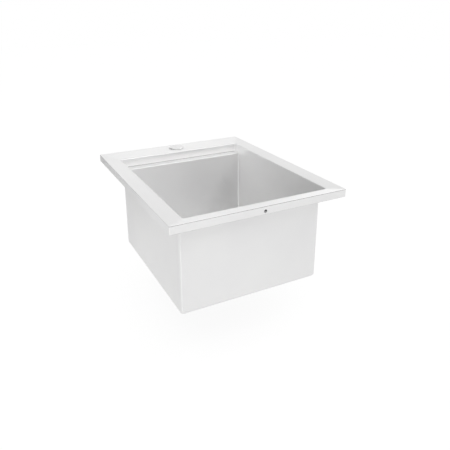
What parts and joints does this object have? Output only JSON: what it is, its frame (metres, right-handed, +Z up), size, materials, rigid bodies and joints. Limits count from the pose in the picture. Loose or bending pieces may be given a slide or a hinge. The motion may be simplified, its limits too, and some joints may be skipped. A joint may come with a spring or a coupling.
{
  "type": "drop-in sink",
  "caption": "Square-cornered stainless drop-in sink with raised flat rim, ledges inside the bowl, covered tap hole, basket strainer and clamp clips.",
  "frame": {"origin": "middle of the rim in plan, at the level of the worktop's top face that the rim's seal rests on", "axes": "+Z up out of the bowl, -Y towards the front apron, +X to the right seen from the front"},
  "size_m": [0.457, 0.559, 0.3931],
  "materials": {
    "brushed_stainless": "long-grain brushed stainless steel",
    "mill_stainless": "plain mill-finish stainless steel",
    "polished_stainless": "satin-polished stainless steel",
    "zinc_plated_steel": "bright zinc plating",
    "chromed_brass": "chrome plating",
    "cast_zinc": "die-cast zinc, matt",
    "black_rubber": "moulded rubber, matt",
    "foam_seal": "closed-cell foam tape",
    "damping_rubber": "pressed bitumen-rubber pad",
    "fibre": "pressed fibre",
    "white_plastic": "moulded polyethylene"
  },
  "bodies": {
    "sink": {"deck_rim": "brushed_stainless", "bowl_shell": "brushed_stainless", "rim_seal": "foam_seal", "sound_pad": "damping_rubber", "tap_channel": "mill_stainless", "left_rail": "mill_stainless", "right_rail": "mill_stainless", "clip_bolts": "zinc_plated_steel", "strainer_body": "polished_stainless", "strainer_seal": "black_rubber", "strainer_washer": "black_rubber", "strainer_friction_ring": "fibre", "strainer_lock_nut": "cast_zinc", "tail_washer": "white_plastic", "tailpiece": "chromed_brass", "coupling_nut": "chromed_brass"},
    "tap_cover": {"tap_cover": "polished_stainless", "tap_cover_seal": "black_rubber"},
    "tap_cover_clamp": {"tap_cover_bar": "zinc_plated_steel"},
    "tap_cover_nut": {"tap_cover_wing_nut": "zinc_plated_steel"},
    "basket": {"basket": "polished_stainless"},
    "stopper": {"basket_knob": "polished_stainless", "basket_stopper": "black_rubber", "stopper_nut": "polished_stainless"},
    "clip_lift_left_front": {"clip_washer_left_front": "zinc_plated_steel"},
    "clip_claw_left_front": {"clip_claw_left_front": "zinc_plated_steel"},
    "clip_nut_left_front": {"clip_nut_left_front": "zinc_plated_steel"},
    "clip_lift_left_rear": {"clip_washer_left_rear": "zinc_plated_steel"},
    "clip_claw_left_rear": {"clip_claw_left_rear": "zinc_plated_steel"},
    "clip_nut_left_rear": {"clip_nut_left_rear": "zinc_plated_steel"},
    "clip_lift_right_front": {"clip_washer_right_front": "zinc_plated_steel"},
    "clip_claw_right_front": {"clip_claw_right_front": "zinc_plated_steel"},
    "clip_nut_right_front": {"clip_nut_right_front": "zinc_plated_steel"},
    "clip_lift_right_rear": {"clip_washer_right_rear": "zinc_plated_steel"},
    "clip_claw_right_rear": {"clip_claw_right_rear": "zinc_plated_steel"},
    "clip_nut_right_rear": {"clip_nut_right_rear": "zinc_plated_steel"}
  },
  "joints": [
    {"name": "basket_lift", "type": "slide", "parent": "sink", "child": "basket", "axis": [0, 0, 1], "range_m": [0, 0.33]},
    {"name": "stopper_pull", "type": "slide", "parent": "basket", "child": "stopper", "axis": [0, 0, 1], "range_m": [0, 0.008]},
    {"name": "tap_cover_lift", "type": "slide", "parent": "sink", "child": "tap_cover", "axis": [0, 0, 1], "range_m": [0, 0.045]},
    {"name": "tap_cover_clamp_slide", "type": "slide", "parent": "sink", "child": "tap_cover_clamp", "axis": [0, 0, -1], "range_m": [0, 0.012]},
    {"name": "tap_cover_nut_turn", "type": "hinge", "parent": "tap_cover_clamp", "child": "tap_cover_nut", "pos_m": [0, 0.241, 0.01], "axis": [0, 0, -1], "range_deg": [0, 4321]},
    {"name": "clip_slide_left_front", "type": "slide", "parent": "sink", "child": "clip_lift_left_front", "axis": [0, 0, -1], "range_m": [0, 0.016]},
    {"name": "clip_claw_turn_left_front", "type": "hinge", "parent": "clip_lift_left_front", "child": "clip_claw_left_front", "pos_m": [-0.2041, -0.1505, -0.004], "axis": [0, 0, 1], "range_deg": [0, 90]},
    {"name": "clip_nut_turn_left_front", "type": "hinge", "parent": "clip_lift_left_front", "child": "clip_nut_left_front", "pos_m": [-0.2041, -0.1505, -0.01], "axis": [0, 0, -1], "range_deg": [0, 5761]},
    {"name": "clip_slide_left_rear", "type": "slide", "parent": "sink", "child": "clip_lift_left_rear", "axis": [0, 0, -1], "range_m": [0, 0.016]},
    {"name": "clip_claw_turn_left_rear", "type": "hinge", "parent": "clip_lift_left_rear", "child": "clip_claw_left_rear", "pos_m": [-0.2041, 0.0995, -0.004], "axis": [0, 0, 1], "range_deg": [0, 90]},
    {"name": "clip_nut_turn_left_rear", "type": "hinge", "parent": "clip_lift_left_rear", "child": "clip_nut_left_rear", "pos_m": [-0.2041, 0.0995, -0.01], "axis": [0, 0, -1], "range_deg": [0, 5761]},
    {"name": "clip_slide_right_front", "type": "slide", "parent": "sink", "child": "clip_lift_right_front", "axis": [0, 0, -1], "range_m": [0, 0.016]},
    {"name": "clip_claw_turn_right_front", "type": "hinge", "parent": "clip_lift_right_front", "child": "clip_claw_right_front", "pos_m": [0.2041, -0.1505, -0.004], "axis": [0, 0, -1], "range_deg": [0, 90]},
    {"name": "clip_nut_turn_right_front", "type": "hinge", "parent": "clip_lift_right_front", "child": "clip_nut_right_front", "pos_m": [0.2041, -0.1505, -0.01], "axis": [0, 0, -1], "range_deg": [0, 5761]},
    {"name": "clip_slide_right_rear", "type": "slide", "parent": "sink", "child": "clip_lift_right_rear", "axis": [0, 0, -1], "range_m": [0, 0.016]},
    {"name": "clip_claw_turn_right_rear", "type": "hinge", "parent": "clip_lift_right_rear", "child": "clip_claw_right_rear", "pos_m": [0.2041, 0.0995, -0.004], "axis": [0, 0, -1], "range_deg": [0, 90]},
    {"name": "clip_nut_turn_right_rear", "type": "hinge", "parent": "clip_lift_right_rear", "child": "clip_nut_right_rear", "pos_m": [0.2041, 0.0995, -0.01], "axis": [0, 0, -1], "range_deg": [0, 5761]}
  ],
  "couplings": [
    {"joint": "tap_cover_nut_turn", "follows": "tap_cover_clamp_slide", "rad_per_m": 6283.2},
    {"joint": "clip_nut_turn_left_front", "follows": "clip_slide_left_front", "rad_per_m": 6283.2},
    {"joint": "clip_nut_turn_left_rear", "follows": "clip_slide_left_rear", "rad_per_m": 6283.2},
    {"joint": "clip_nut_turn_right_front", "follows": "clip_slide_right_front", "rad_per_m": 6283.2},
    {"joint": "clip_nut_turn_right_rear", "follows": "clip_slide_right_rear", "rad_per_m": 6283.2}
  ]
}
